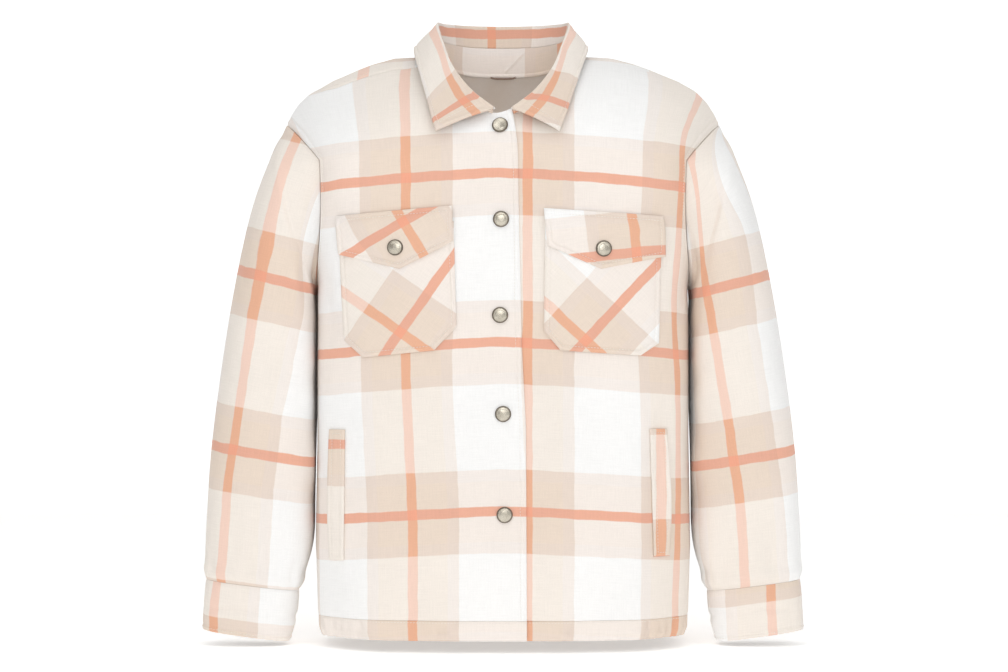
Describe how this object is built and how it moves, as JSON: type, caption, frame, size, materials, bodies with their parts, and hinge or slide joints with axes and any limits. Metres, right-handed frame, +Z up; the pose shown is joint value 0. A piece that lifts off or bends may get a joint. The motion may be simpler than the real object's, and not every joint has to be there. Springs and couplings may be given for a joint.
{
  "type": "shacket",
  "caption": "Plaid flannel shacket, filled out and hollow, with a turned-down collar, flapped chest pockets, side welts and a snap front.",
  "frame": {"origin": "at the level of the high points of the shoulders, midway between them, where the wearer's shoulders hold the garment up", "axes": "+Z up, -Y to the front of the garment, +X to the wearer's left"},
  "size_m": [0.704, 0.2432, 0.7296],
  "materials": {
    "plaid_flannel": "brushed cotton flannel in a pastel plaid of white, cream and beige with peach lines",
    "plaid_trim": "the same brushed flannel, turned on the bias or doubled where it is a band",
    "pewter_snap": "aged pewter, domed, worn bright on top and dark round the rim",
    "loop_tape": "matt woven tape"
  },
  "bodies": {
    "root": {"front_right": "plaid_flannel", "front_left": "plaid_flannel", "back": "plaid_flannel", "sleeve_right": "plaid_flannel", "sleeve_left": "plaid_flannel", "cuff_right": "plaid_trim", "cuff_left": "plaid_trim", "hem_band_front_right": "plaid_trim", "hem_band_front_left": "plaid_trim", "hem_band_back": "plaid_trim", "collar_stand": "plaid_trim", "collar_fall": "plaid_flannel", "chest_pocket_right": "plaid_trim", "chest_pocket_left": "plaid_trim", "flap_right": "plaid_trim", "flap_left": "plaid_trim", "welt_right": "plaid_trim", "welt_left": "plaid_trim", "front_snap_1": "pewter_snap", "front_snap_2": "pewter_snap", "front_snap_3": "pewter_snap", "front_snap_4": "pewter_snap", "front_snap_5": "pewter_snap", "flap_snap_right": "pewter_snap", "flap_snap_left": "pewter_snap", "hanger_loop": "loop_tape"}
  },
  "joints": []
}
